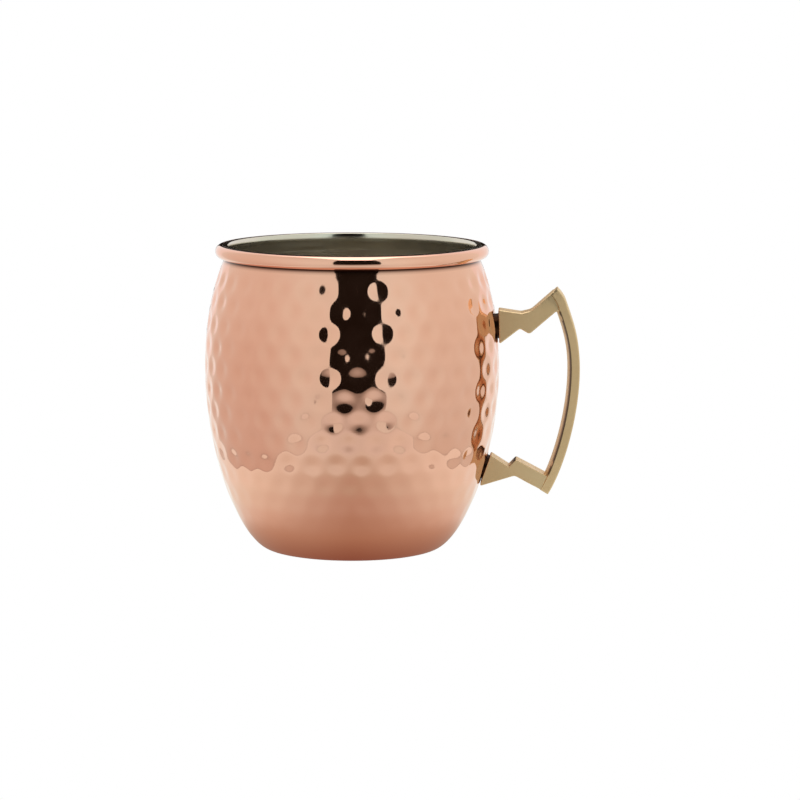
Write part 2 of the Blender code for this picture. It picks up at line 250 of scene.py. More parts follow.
# A white card's light at its front edge, where it is nearest the mug, and at its far edge. Each table is
# places, then values: nearness to the mug along the card, the mug's warmth by height, light by height. The
# card's foot is in shade.
LEFT_CARD_LIGHT = ((0.84, 0.93, 0.90), (0.76, 0.68, 0.63), (0.86, 0.92, 0.90))
RIGHT_CARD_LIGHT = ((0.87, 1.00, 0.99), (0.80, 0.80, 0.75), (0.90, 0.96, 0.92))
CARD_NEARNESS = ((0.0, 0.3, 0.55, 0.75, 1.0), (0.0, 0.1, 1.0, 0.8, 0.2))
CARD_WARMTH = ((0.03, 0.13), (1.0, 0.45))
CARD_RISE = ((0.0, 0.10, 0.22, 0.42), (0.94, 1.06, 1.0, 0.95))
CARD_FOOT_SHADE = 0.3
CARD_FOOT_HEIGHT = 1.2 * MM

# Light off the floor at a distance from the mug's axis, before and beside the mug. It is warm and dim close
# to the mug, which shades it and lights it with copper.
FLOOR_BEFORE = (
    (0.027, (0.26, 0.11, 0.08)),
    (0.040, (0.48, 0.33, 0.25)),
    (0.060, (0.57, 0.46, 0.40)),
    (0.085, (0.61, 0.58, 0.51)),
    (0.105, (0.76, 0.82, 0.79)),
    (0.140, (0.77, 0.83, 0.83)),
    (0.170, (0.71, 0.76, 0.76)),
    (0.200, (0.60, 0.62, 0.60)),
    (0.245, (0.42, 0.42, 0.40)),
    (0.310, (0.29, 0.28, 0.26)),
    (0.390, (0.18, 0.17, 0.15)),
    (0.700, (0.18, 0.17, 0.15)),
)
FLOOR_BESIDE = (
    (0.027, (0.34, 0.20, 0.15)),
    (0.040, (0.60, 0.48, 0.40)),
    (0.050, (0.83, 0.80, 0.74)),
    (0.060, (0.88, 0.92, 0.87)),
    (0.070, (0.92, 1.00, 0.95)),
    (0.090, (0.97, 1.05, 1.02)),
    (0.700, (1.00, 1.02, 1.02)),
)
FLOOR_RINGS = 60
FLOOR_SPOKES = 72
FLOOR_SIDE_POWER = 1.4


def bezier(start, start_handle, end_handle, end, spacing):
    """Points of one cubic stretch, both ends included, about a spacing apart."""
    corners = [np.array(p) for p in (start, start_handle, end_handle, end)]
    fine = np.linspace(0.0, 1.0, BEZIER_SAMPLES)[:, None]
    back = 1.0 - fine
    curve = (
        back**3 * corners[0]
        + 3 * back**2 * fine * corners[1]
        + 3 * back * fine**2 * corners[2]
        + fine**3 * corners[3]
    )
    return resampled(curve, spacing)


def lengths_along(points):
    return np.concatenate([[0.0], np.cumsum(np.linalg.norm(np.diff(points, axis=0), axis=1))])


def resampled(points, spacing):
    """The same line with points a nearly equal distance apart."""
    points = np.asarray(points)
    along = lengths_along(points)
    count = max(2, round(along[-1] / spacing) + 1)
    places = np.linspace(0.0, along[-1], count)
    return np.stack([np.interp(places, along, points[:, k]) for k in range(2)], axis=1)


def step(point, distance, angle):
    """The point at a distance from another, at an angle from straight down, turning outwards."""
    return (point[0] + distance * math.sin(angle), point[1] - distance * math.cos(angle))


def arc(centre, radius, start, end, spacing):
    count = max(3, round(abs(end - start) * radius / spacing) + 1)
    angles = np.linspace(start, end, count)
    return np.stack([centre[0] + radius * np.cos(angles), centre[1] + radius * np.sin(angles)], axis=1)


def outline_normals(points):
    """Unit normals on the outer side of an outline that runs from the rim down to the axis."""
    tangents = np.gradient(points, axis=0)
    tangents /= np.linalg.norm(tangents, axis=1)[:, None]
    return np.stack([-tangents[:, 1], tangents[:, 0]], axis=1)


def barrel(neck, neck_lean, neck_handle, belly, handle_up, handle_down, flat_edge, corner_handle, spacing):
    """A barrel's outline from its neck to the edge of its flat base."""
    upper = bezier(
        neck, step(neck, neck_handle, neck_lean), (belly[0], belly[1] + handle_up), belly, spacing
    )
    lower = bezier(
        belly,
        (belly[0], belly[1] - handle_down),
        (flat_edge[0] + corner_handle, flat_edge[1]),
        flat_edge,
        spacing,
    )
    return np.vstack([upper, lower[1:]])


def copper_wall(spacing):
    return barrel(
        NECK,
        NECK_LEAN,
        NECK_HANDLE,
        BELLY,
        BELLY_HANDLE_UP,
        BELLY_HANDLE_DOWN,
        (BASE_FLAT_RADIUS, 0.0),
        BASE_CORNER_HANDLE,
        spacing,
    )


def crease_circle():
    """The centre of the small arc between bead and neck, and the angle at which it leaves the bead."""
    bead = Vector(BEAD_CENTRE)
    up_the_neck = Vector((-math.sin(NECK_LEAN), math.cos(NECK_LEAN)))
    outward = Vector((math.cos(NECK_LEAN), math.sin(NECK_LEAN)))
    beside_neck = Vector(NECK) + outward * CREASE_RADIUS - bead
    along = beside_neck.dot(up_the_neck)
    across_squared = beside_neck.length_squared - along**2
    to_touch = -along - math.sqrt((BEAD_RADIUS + CREASE_RADIUS) ** 2 - across_squared)
    crease = bead + beside_neck + up_the_neck * to_touch
    return crease, math.atan2(crease.y - bead.y, crease.x - bead.x)


def copper_rim(inset, spacing):
    """The copper's line round the bead and its crease, at an inset from the outer surface."""
    crease, bead_end = crease_circle()
    seam = SEAM - (SEAM_HALF_GAP + SEAM_EDGE) / BEAD_RADIUS
    bead = arc(BEAD_CENTRE, BEAD_RADIUS - inset, seam, bead_end, spacing)
    bend = arc(crease, CREASE_RADIUS + inset, bead_end + math.pi, NECK_LEAN + math.pi, spacing / 2)
    return np.vstack([bead, bend[1:-1]])


def rounded_end(outer, inner, edge):
    """Points that close a sheet's end, both corners eased, from its outer line's end to its inner one."""
    across = edge * (inner - outer) / np.linalg.norm(inner - outer)
    onward = np.array([-across[1], across[0]])
    return [
        outer + onward * 0.7 + across * 0.3,
        outer + onward + across,
        inner + onward - across,
        inner + onward * 0.7 - across * 0.3,
    ]


def steps_round():
    """The angles of the points round every turned piece."""
    return np.arange(TURN_STEPS) * 2 * math.pi / TURN_STEPS


def turned(name, outline, shift=None):
    """A closed mesh turned about Z from a section whose first and last points are on the axis.

    shift is (first row, distances, normals): from that row of the section's points between the axis points,
    each point moves along its row's normal by its own distance.
    """
    angles = steps_round()
    around = np.stack([np.sin(angles), -np.cos(angles)], axis=1)
    ring = outline[1:-1]
    radius = np.repeat(ring[:, 0:1], TURN_STEPS, axis=1)
    height = np.repeat(ring[:, 1:2], TURN_STEPS, axis=1)
    if shift is not None:
        first, distances, normals = shift
        rows = slice(first, first + len(distances))
        radius[rows] += distances * normals[:, 0:1]
        height[rows] += distances * normals[:, 1:2]
    points = np.stack([radius * around[:, 0], radius * around[:, 1], height], axis=2).reshape(-1, 3)
    points = np.vstack([points, [0.0, 0.0, outline[0][1]], [0.0, 0.0, outline[-1][1]]])
    low_pole, high_pole = len(points) - 2, len(points) - 1
    column = np.arange(TURN_STEPS)
    after = (column + 1) % TURN_STEPS
    faces = []
    for row in range(len(ring) - 1):
        here, above = row * TURN_STEPS, (row + 1) * TURN_STEPS
        faces.append(np.stack([here + column, here + after, above + after, above + column], axis=1))
    quads = np.vstack(faces).tolist()
    last = (len(ring) - 1) * TURN_STEPS
    fans = [(low_pole, int(b), int(a)) for a, b in zip(column, after)]
    fans += [(high_pole, int(last + a), int(last + b)) for a, b in zip(column, after)]
    mesh = bpy.data.meshes.new(name)
    mesh.from_pydata(points.tolist(), [], quads + fans)
    mesh.shade_smooth()
    return mesh


def hammer_marks():
    """(distance down the wall, angle, radius, depth) of every mark."""
    dice = random.Random(MARK_SEED)
    marks = []
    pitch = 2 * math.pi / MARKS_PER_RING
    for ring in range(MARK_RINGS):
        start = MARK_PHASE + RING_DRIFT * ring + pitch / 2 * (ring % 2)
        for k in range(MARKS_PER_RING):
            down = FIRST_RING + RING_PITCH * ring + dice.uniform(-1, 1) * MARK_SHIFT_DOWN
            angle = start + pitch * k + dice.uniform(-1, 1) * MARK_SHIFT_ROUND / BELLY[0]
            radius = MARK_RADIUS * dice.uniform(*RADIUS_SPREAD)
            depth = MARK_DEPTH * RING_STRENGTH[ring] * dice.uniform(*DEPTH_SPREAD)
            marks.append((down, angle, radius, depth))
    return marks


def mark_profile():
    """Shares of a mark's radius, and its depth there as a share of the full depth.

    The bottom is a small round, the flank is nearly straight, and the rim rolls over into the land.
    """
    share = np.linspace(0.0, 1.0, PROFILE_SAMPLES)
    slope = np.sin(np.pi * share) ** MARK_FLANK_POWER
    fallen = np.concatenate([[0.0], np.cumsum((slope[1:] + slope[:-1]) / 2)])
    return share, 1.0 - fallen / fallen[-1]


def hammered_depth(wall):
    """Depths at each point of the wall, by row and by step round the mug: the marks, and the lands' waves."""
    share, profile = mark_profile()
    along = lengths_along(wall)
    angles = steps_round()
    depth = np.zeros((len(wall), TURN_STEPS))
    for down, angle, radius, deep in hammer_marks():
        rows = np.flatnonzero(np.abs(along - down) < radius)
        aside = (angles - angle + math.pi) % (2 * math.pi) - math.pi
        columns = np.flatnonzero(np.abs(aside) * wall[rows, 0].min() < radius)
        away = np.hypot(along[rows, None] - down, wall[rows, 0:1] * aside[columns][None])
        patch = np.ix_(rows, columns)
        depth[patch] = np.maximum(depth[patch], deep * np.interp(away / radius, share, profile))
    waves = sum(
        np.sin(along[:, None] * 2 * math.pi / length + turn + lobes * angles[None])
        for length, lobes, turn in WAVES
    )
    fade = np.interp(along, *WAVE_FADE)[:, None]
    return depth, fade * (WAVE_HEIGHT * waves - LAND_RISE)


def add_piece(name, mesh, material, slot, *replaced):
    obj = bpy.data.objects.new(name, mesh)
    bpy.context.scene.collection.objects.link(obj)
    mesh.materials.clear()
    mesh.materials.append(material)
    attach(obj, "root")
    if replaced:
        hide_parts(*replaced)
    return obj


def vertex_points(mesh):
    points = np.zeros(len(mesh.vertices) * 3)
    mesh.vertices.foreach_get("co", points)
    return points.reshape(-1, 3)


def store(mesh, name, values):
    """Stores a value at each point for the material to read, kept from 0 to 1."""
    attribute = mesh.attributes.new(name, "FLOAT", "POINT")
    attribute.data.foreach_set("value", np.clip(values, 0.0, 1.0).astype(np.float32))


def hammered_shell(material):
    """The copper shell as one closed sheet: base, hammered wall, crease and the bead's outer half."""
    fine = copper_wall(HAMMERED_SPACING)
    rim = copper_rim(0.0, BEAD_SPACING)
    outer = np.vstack([rim, fine])
    hidden_wall = resampled(fine, HIDDEN_SPACING)
    hidden_wall = hidden_wall - outline_normals(hidden_wall) * COPPER_SHEET
    inner = np.vstack([copper_rim(COPPER_SHEET, 3 * BEAD_SPACING), hidden_wall])
    base, lid = (
        [(share * BASE_FLAT_RADIUS, height) for share in (0.0, 0.4, 0.8)] for height in (0.0, COPPER_SHEET)
    )
    seam = rounded_end(rim[0], inner[0], SEAM_EDGE)
    section = np.vstack([base, outer[::-1], seam, inner, lid[::-1]])
    marks, lands = hammered_depth(fine)
    first_wall_row = len(base) - 1
    sunk = -(marks + lands)[::-1]
    mesh = turned("hammered_shell", section, (first_wall_row, sunk, outline_normals(fine)[::-1]))
    values = np.zeros(len(mesh.vertices))
    start = first_wall_row * TURN_STEPS
    values[start : start + marks.size] = np.clip(marks[::-1].ravel() / MARK_DEPTH, 0.0, 1.0)
    store(mesh, "mark", values)
    # Painted shade: the crease under the bead is darkened towards near black, fading out of the crease.
    points = vertex_points(mesh)
    radius = np.hypot(points[:, 0], points[:, 1])
    crease, _ = crease_circle()
    to_crease = np.hypot(radius - crease.x, points[:, 2] - crease.y)
    store(mesh, "painted_shade", (CREASE_RADIUS + CREASE_SHADE_REACH - to_crease) / PAINTED_SHADE_FADE)
    return add_piece("hammered_shell", mesh, material, "hammered_copper", "copper_body")


def liner_lip(inset, corner):
    """The liner's line over the bead, round a corner and down a flare, at an inset from the shown face."""
    seam = SEAM + (SEAM_HALF_GAP + SEAM_EDGE) / BEAD_RADIUS
    over = arc(BEAD_CENTRE, BEAD_RADIUS - inset, seam, LIP_TURN, BEAD_SPACING)
    foot = (BEAD_CENTRE[0] - BEAD_RADIUS + inset, BEAD_CENTRE[1])
    middle = (foot[0] + LIP_SPREAD + corner * math.cos(LIP_FLARE), over[-1][1] - corner)
    bend = arc(middle, corner, LIP_TURN, math.pi - LIP_FLARE, corner / 4)
    flare = bezier(
        bend[-1],
        step(bend[-1], LIP_FLARE_HANDLE, -LIP_FLARE),
        (foot[0], foot[1] + LIP_FLARE_HANDLE),
        foot,
        BEAD_SPACING,
    )
    return np.vstack([over, [(over[-1] + bend[0]) / 2], bend, flare[1:]])


def drawn_liner(material):
    """The liner as one closed sheet, with the bead's inner half as its lip."""
    hidden_lip = liner_lip(STEEL_SHEET, LIP_HIDDEN_CORNER)
    wall = barrel(
        tuple(hidden_lip[-1]),
        0.0,
        LINER_NECK_HANDLE,
        LINER_BELLY,
        LINER_HANDLE_UP,
        LINER_HANDLE_DOWN,
        (LINER_FLAT_RADIUS, LINER_FLOOR_Z),
        LINER_CORNER_HANDLE,
        PLAIN_SPACING,
    )
    inner_floor = LINER_FLOOR_Z + STEEL_SHEET
    shown_wall = wall - outline_normals(wall) * STEEL_SHEET
    shown_wall[-1] = (LINER_FLAT_RADIUS, inner_floor)
    hidden = np.vstack([hidden_lip[:-1], wall])
    shown = np.vstack([liner_lip(0.0, LIP_CORNER), shown_wall[1:]])
    below = [(0.0, LINER_FLOOR_Z), (0.5 * LINER_FLAT_RADIUS, LINER_FLOOR_Z)]
    above = [(0.5 * LINER_FLAT_RADIUS, inner_floor), (0.0, inner_floor)]
    closing = rounded_end(shown[0], hidden[0], SEAM_EDGE)[::-1]
    section = np.vstack([below, hidden[::-1], closing, shown, above])
    mesh = turned("drawn_liner", section)
    return add_piece("drawn_liner", mesh, material, "stainless_steel", "steel_liner")


def rounded(corners):
    """The outline in metres, with an arc of each corner's radius in place of the corner."""
    points = []
    for i, (x, z, radius) in enumerate(corners):
        here = Vector((x, z)) * MM
        before = (Vector(corners[i - 1][:2]) * MM - here).normalized()
        after = (Vector(corners[(i + 1) % len(corners)][:2]) * MM - here).normalized()
        if radius == 0.0:
            points.append(here)
            continue
        half = before.angle(after) / 2
        reach = radius * MM / math.tan(half)
        centre = here + (before + after).normalized() * (radius * MM / math.sin(half))
        first = here + before * reach - centre
        last = here + after * reach - centre
        start = math.atan2(first.y, first.x)
        sweep = math.remainder(math.atan2(last.y, last.x) - start, 2 * math.pi)
        for k in range(ARC_STEPS + 1):
            angle = start + sweep * k / ARC_STEPS
            points.append(centre + Vector((math.cos(angle), math.sin(angle))) * radius * MM)
    return points


def loose_object(name, work):
    mesh = bpy.data.meshes.new(name)
    bmesh.ops.recalc_face_normals(work, faces=work.faces)
    work.to_mesh(mesh)
    work.free()
    obj = bpy.data.objects.new(name, mesh)
    bpy.context.scene.collection.objects.link(obj)
    return obj


def arm_casting(name, corners):
    """A flat outline extruded along Y to the arms' depth, with its edges rounded over."""
    work = bmesh.new()
    face = work.faces.new([work.verts.new((p.x, -ARM_DEPTH / 2, p.y)) for p in rounded(corners)])
    extruded = bmesh.ops.extrude_face_region(work, geom=[face])["geom"]
    moved = [v for v in extruded if isinstance(v, bmesh.types.BMVert)]
    bmesh.ops.translate(work, verts=moved, vec=(0.0, ARM_DEPTH, 0.0))
    obj = loose_object(name, work)
    ease = obj.modifiers.new("rounded_edges", "BEVEL")
    ease.width = CASTING_EDGE
    ease.segments = CASTING_EDGE_STEPS
    ease.limit_method = "ANGLE"
    ease.angle_limit = CASTING_EDGE_ANGLE
    return obj


def grip_edge():
    """The grip's outer edge in the XZ plane, from the upper tip to the lower tip."""
    top = bezier(
        GRIP_TOP,
        step(GRIP_TOP, GRIP_CORNER_HANDLE, GRIP_TOP_SLOPE),
        step(GRIP_SHOULDER, -GRIP_CORNER_HANDLE, GRIP_SHOULDER_SLOPE),
        GRIP_SHOULDER,
        GRIP_SPACING,
    )
    bow = bezier(
        GRIP_SHOULDER,
        step(GRIP_SHOULDER, GRIP_SHOULDER_HANDLE, GRIP_SHOULDER_SLOPE),
        (GRIP_BELLY[0], GRIP_BELLY[1] + GRIP_BELLY_HANDLE_UP),
        GRIP_BELLY,
        GRIP_SPACING,
    )
    tail = bezier(
        GRIP_BELLY,
        (GRIP_BELLY[0], GRIP_BELLY[1] - GRIP_BELLY_HANDLE_DOWN),
        step(GRIP_FOOT, -GRIP_FOOT_HANDLE, -GRIP_FOOT_SLOPE),
        GRIP_FOOT,
        GRIP_SPACING,
    )
    return np.vstack([top, bow[1:], tail[1:]])


def grip_section(half):
    """The band's section, (distance in from the outer edge, y): flat outside, swelling to the fingers.

    A point just before each inner corner keeps the corner's painted shade off the side face.
    """
    section = []
    for side in (-1, 1):
        corner = []
        for k in range(GRIP_CORNER_STEPS + 1):
            angle = math.pi / 2 * k / GRIP_CORNER_STEPS
            inward = CASTING_EDGE * (1 - math.sin(angle))
            corner.append((inward, side * (half - CASTING_EDGE * (1 - math.cos(angle)))))
        section += corner if side < 0 else corner[::-1]
    section.append((GRIP_BAND - PAINTED_SHADE_FADE, half))
    for k in range(GRIP_SWELL_STEPS + 1):
        y = half * (1 - 2 * k / GRIP_SWELL_STEPS)
        section.append((GRIP_BAND + GRIP_SWELL * (1 - (y / half) ** 2), y))
    section.append((GRIP_BAND - PAINTED_SHADE_FADE, -half))
    return section


def grip_band():
    """The band, lofted square to its outer edge."""
    edge = grip_edge()
    along = lengths_along(edge)
    tangents = np.gradient(edge, axis=0)
    tangents /= np.linalg.norm(tangents, axis=1)[:, None]
    work = bmesh.new()
    rings = []
    for point, tangent, place in zip(edge, tangents, along):
        inward = Vector((tangent[1], -tangent[0]))
        inward = inward if inward.x < 0 else -inward
        from_tip = min(place, along[-1] - place) / GRIP_TAPER_LENGTH
        share = min(1.0, from_tip) ** GRIP_TAPER_POWER
        half = (GRIP_TIP_DEPTH + (GRIP_DEPTH - GRIP_TIP_DEPTH) * share) / 2
        rings.append(
            [
                work.verts.new((point[0] + d * inward.x, y, point[1] + d * inward.y))
                for d, y in grip_section(half)
            ]
        )
    count = len(rings[0])
    for ring, following in zip(rings, rings[1:]):
        for k in range(count):
            after = (k + 1) % count
            work.faces.new((ring[k], ring[after], following[after], following[k]))
    work.faces.new(rings[0])
    work.faces.new(rings[-1])
    return loose_object("grip_band", work)


def wall_place(height):
    """A matrix at the copper wall on the handle's side, with +Z along the wall's outward normal."""
    wall = copper_wall(HAMMERED_SPACING)
    row = int(np.abs(wall[:, 1] - height).argmin())
    out = outline_normals(wall)[row]
    normal = Vector((out[0], 0.0, out[1]))
    side = Vector((0.0, 1.0, 0.0))
    turn = Matrix((side.cross(normal), side, normal)).transposed().to_4x4()
    return Matrix.Translation((wall[row][0], 0.0, wall[row][1])) @ turn


def cylinder_between(name, radius, low, high, place):
    work = bmesh.new()
    bmesh.ops.create_cone(
        work, cap_ends=True, segments=ROUND_STEPS, radius1=radius, radius2=radius, depth=high - low
    )
    bmesh.ops.translate(work, verts=work.verts, vec=(0.0, 0.0, (low + high) / 2))
    obj = loose_object(name, work)
    obj.matrix_world = place
    return obj


def boolean(target, other, operation):
    modifier = target.modifiers.new(other.name, "BOOLEAN")
    modifier.operation = operation
    modifier.object = other
    modifier.solver = "EXACT"


def settled(obj, helpers):
    """The object's mesh with its modifiers applied. The object and its helpers are removed."""
    graph = bpy.context.evaluated_depsgraph_get()
    mesh = bpy.data.meshes.new_from_object(obj.evaluated_get(graph))
    for each in [obj, *helpers]:
        bpy.data.objects.remove(each)
    return mesh


def mark_wear_and_shade(mesh):
    """Stores the worn edges of the handle, and the painted shade in its corners, for the material to read.

    An edge is where a point is turned between a side face and the front or back. Painted shade darkens
    the bosses, the inner edges of the grip and the riser of the step in the lower arm.
    """
    across = np.array([vertex.normal.y for vertex in mesh.vertices])
    store(mesh, "edge", 4 * across**2 * (1 - across**2))
    points = vertex_points(mesh)
    side = points[:, [0, 2]]
    # Painted shade: near black on the bosses, along the grip's inner edges and on the lower arm's riser.
    painted_shade = np.zeros(len(points))
    for height in (UPPER_FIXING_Z, LOWER_FIXING_Z):
        place = wall_place(height)
        local = (points - np.array(place.translation)) @ np.array(place.to_3x3())
        off_axis = np.hypot(local[:, 0], local[:, 1])
        painted_shade[(local[:, 2] < BOSS_END) & (off_axis < BOSS_RADIUS + TOUCH)] = 1.0
    edge = grip_edge()
    to_edge = np.linalg.norm(side[:, None] - edge[None], axis=2)
    nearest = to_edge.argmin(axis=1)
    inside = to_edge.min(axis=1) - GRIP_BAND
    inner = (inside > -INNER_CORNER_REACH) & (inside < GRIP_SWELL) & (side[:, 0] < edge[nearest, 0])
    inner &= np.abs(np.abs(points[:, 1]) - ARM_DEPTH / 2) > TOUCH
    inner &= (side[:, 1] > GRIP_HOLLOW[0]) & (side[:, 1] < GRIP_HOLLOW[1])
    painted_shade[inner] = 1.0 - (inside[inner] - INNER_FADE_START) / INNER_FADE_LENGTH
    foot, head = (np.array(LOWER_ARM[k][:2]) * MM for k in (1, 2))
    on_riser = (side - foot) @ (head - foot) / np.sum((head - foot) ** 2)
    off_riser = np.abs(np.cross(side - foot, head - foot)) / np.linalg.norm(head - foot)
    riser = (on_riser > RISER_SPAN[0]) & (on_riser < RISER_SPAN[1])
    riser &= (off_riser < RISER_REACH) & (np.abs(across) < FRONT_FACING)
    painted_shade[riser] = 1.0
    store(mesh, "painted_shade", painted_shade)


def cast_handle(material):
    """Two arms, the grip band and a boss on each foot as one casting, with a blind hole in each boss."""
    handle = arm_casting("upper_arm", UPPER_ARM)
    helpers = [grip_band(), arm_casting("lower_arm", LOWER_ARM)]
    for helper in helpers:
        boolean(handle, helper, "UNION")
    for name, height in (("upper", UPPER_FIXING_Z), ("lower", LOWER_FIXING_Z)):
        place = wall_place(height)
        boss = cylinder_between(f"{name}_boss", BOSS_RADIUS, -BOSS_INTO_WALL, BOSS_END, place)
        hole = cylinder_between(f"{name}_hole", SCREW_HOLE_RADIUS, -BOSS_END, BLIND_HOLE_END, place)
        boolean(handle, boss, "UNION")
        boolean(handle, hole, "DIFFERENCE")
        helpers += [boss, hole]
    mesh = settled(handle, helpers)
    mesh.shade_smooth()
    mesh.set_sharp_from_angle(angle=SHARP_ANGLE)
    mark_wear_and_shade(mesh)
    piece = add_piece("cast_handle", mesh, material, "cast_brass", "handle")
    flat = piece.modifiers.new("flat_faces", "WEIGHTED_NORMAL")
    flat.keep_sharp = True
    return piece


def shader_of(material):
    return material.node_tree.nodes["Principled BSDF"]


def new_metal(name):
    material = bpy.data.materials.new(name)
    material.use_nodes = True
    shader_of(material).inputs["Metallic"].default_value = 1.0
    return material


def noise(material, scale, detail, stretch=(1.0, 1.0, 1.0)):
    """The factor of a noise in the piece's own space, at a scale in features per metre."""
    nodes, links = material.node_tree.nodes, material.node_tree.links
    place = nodes.new("ShaderNodeTexCoord")
    mapping = nodes.new("ShaderNodeMapping")
    mapping.inputs["Scale"].default_value = stretch
    texture = nodes.new("ShaderNodeTexNoise")
    texture.inputs["Scale"].default_value = scale
    texture.inputs["Detail"].default_value = detail
    links.new(place.outputs["Object"], mapping.inputs["Vector"])
    links.new(mapping.outputs["Vector"], texture.inputs["Vector"])
    return texture.outputs["Fac"]


def height_of(material):
    """The height in the piece's own space."""
    nodes, links = material.node_tree.nodes, material.node_tree.links
    place = nodes.new("ShaderNodeTexCoord")
    parts = nodes.new("ShaderNodeSeparateXYZ")
    links.new(place.outputs["Object"], parts.inputs["Vector"])
    return parts.outputs["Z"]


def stored(material, name):
    """The value stored under a name at each point of the piece's mesh."""
    node = material.node_tree.nodes.new("ShaderNodeAttribute")
    node.attribute_name = name
    return node.outputs["Fac"]


def map_range(tree, value, source, target):
    """The value carried over from one (low, high) range to another, and kept within it, in a node tree."""
    node = tree.nodes.new("ShaderNodeMapRange")
    node.inputs["From Min"].default_value, node.inputs["From Max"].default_value = source
    node.inputs["To Min"].default_value, node.inputs["To Max"].default_value = target
    tree.links.new(value, node.inputs["Value"])
    return node


def remapped(material, value, source, target):
    return map_range(material.node_tree, value, source, target).outputs["Result"]


def blended(material, factor, first, second):
    """A colour between two, each a colour tuple or another node's output."""
    node = material.node_tree.nodes.new("ShaderNodeMix")
    node.data_type = "RGBA"
    # The colour sockets share their names with the node's other types, so they go by number.
    factor_in, first_in, second_in = (node.inputs[k] for k in (0, 6, 7))
    for socket, colour in ((first_in, first), (second_in, second)):
        if isinstance(colour, tuple):
            socket.default_value = (*colour, 1.0)
        else:
            material.node_tree.links.new(colour, socket)
    material.node_tree.links.new(factor, factor_in)
    return node.outputs[2]


def added(material, first, second):
    node = material.node_tree.nodes.new("ShaderNodeMath")
    node.operation = "ADD"
    material.node_tree.links.new(first, node.inputs[0])
    material.node_tree.links.new(second, node.inputs[1])
    return node.outputs["Value"]


def bumped(material, height, distance, strength):
    node = material.node_tree.nodes.new("ShaderNodeBump")
    node.inputs["Distance"].default_value = distance
    node.inputs["Strength"].default_value = strength
    material.node_tree.links.new(height, node.inputs["Height"])
    material.node_tree.links.new(node.outputs["Normal"], shader_of(material).inputs["Normal"])


def copper_material():
    """Polished copper: faintly tarnished clouds, duller hollows in the marks, painted shade under the bead,
    and a slight orange peel.
    """
    material = new_metal("hammered_copper")
    links, shader = material.node_tree.links, shader_of(material)
    clouds = remapped(material, noise(material, 28.0, 3.0), CLOUD_SPAN, (0.0, 1.0))
    colour = blended(material, clouds, COPPER_LIGHT, COPPER_DEEP)
    mark = stored(material, "mark")
    hollow = remapped(material, mark, (0.2, 1.0), (0.0, 0.35))
    colour = blended(material, hollow, colour, COPPER_HOLLOW)
    # Painted shade: the crease under the bead is blended towards near black.
    colour = blended(material, stored(material, "painted_shade"), colour, COPPER_PAINTED_SHADE)
    links.new(colour, shader.inputs["Base Color"])
    wiped = remapped(material, noise(material, 160.0, 4.0), NOISE_SPAN, (0.045, 0.085))
    dull = remapped(material, mark, (0.0, 1.0), (0.0, 0.02))
    links.new(added(material, wiped, dull), shader.inputs["Roughness"])
    bumped(material, noise(material, 520.0, 3.0), 0.03 * MM, 0.25)
    return material


def steel_material():
    """Drawn stainless steel: fine rings round the cup, satin patches, and a brighter polish near the lip."""
    material = new_metal("stainless_steel")
    links, shader = material.node_tree.links, shader_of(material)
    rings = noise(material, 60.0, 5.0, (0.6, 0.6, 22.0))
    satin = remapped(material, rings, NOISE_SPAN, (0.26, 0.38))
    polish = remapped(material, height_of(material), POLISH_SPAN, (0.0, -0.17))
    links.new(added(material, satin, polish), shader.inputs["Roughness"])
    patches = remapped(material, noise(material, 35.0, 2.0), CLOUD_SPAN, (0.0, 1.0))
    links.new(blended(material, patches, STEEL_LIGHT, STEEL_DEEP), shader.inputs["Base Color"])
    bumped(material, rings, 0.02 * MM, 0.15)
    return material


def brass_material():
    """Pale satin brass: soft colour clouds, a fine cast skin, and edges worn smoother."""
    material = new_metal("cast_brass")
    links, shader = material.node_tree.links, shader_of(material)
    clouds = remapped(material, noise(material, 45.0, 3.0), CLOUD_SPAN, (0.0, 1.0))
    colour = blended(material, clouds, BRASS_LIGHT, BRASS_DEEP)
    # Painted shade: the bosses, the grip's inner edges and the riser are blended towards near black.
    colour = blended(material, stored(material, "painted_shade"), colour, BRASS_PAINTED_SHADE)
    links.new(colour, shader.inputs["Base Color"])
    skin = noise(material, 900.0, 4.0)
    rough = remapped(material, skin, NOISE_SPAN, (0.50, 0.60))
    worn = remapped(material, stored(material, "edge"), (0.0, 1.0), (0.0, -0.30))
    links.new(added(material, rough, worn), shader.inputs["Roughness"])
    bumped(material, skin, 0.03 * MM, 0.35)
    return material


def fastener_material():
    """Turned steel with fine tool rings."""
    material = new_metal("fastener_steel")
    links, shader = material.node_tree.links, shader_of(material)
    rings = noise(material, 400.0, 3.0, (6.0, 1.0, 1.0))
    links.new(remapped(material, rings, NOISE_SPAN, (0.28, 0.42)), shader.inputs["Roughness"])
    patches = remapped(material, noise(material, 150.0, 2.0), NOISE_SPAN, (0.0, 1.0))
    links.new(blended(material, patches, FASTENER_LIGHT, FASTENER_DEEP), shader.inputs["Base Color"])
    bumped(material, rings, 0.02 * MM, 0.3)
    return material


def add_camera():
    back = Vector(
        (
            math.sin(CAMERA_AZIMUTH) * math.cos(CAMERA_ELEVATION),
            -math.cos(CAMERA_AZIMUTH) * math.cos(CAMERA_ELEVATION),
            math.sin(CAMERA_ELEVATION),
        )
    )
    data = bpy.data.cameras.new("camera")
    data.lens = CAMERA_LENS
    data.shift_x, data.shift_y = CAMERA_SHIFT
    camera = bpy.data.objects.new("camera", data)
    bpy.context.scene.collection.objects.link(camera)
    camera.location = CAMERA_TARGET + back * CAMERA_DISTANCE
    camera.rotation_mode = "QUATERNION"
    camera.rotation_quaternion = (-back).to_track_quat("-Z", "Y")
    bpy.context.scene.camera = camera


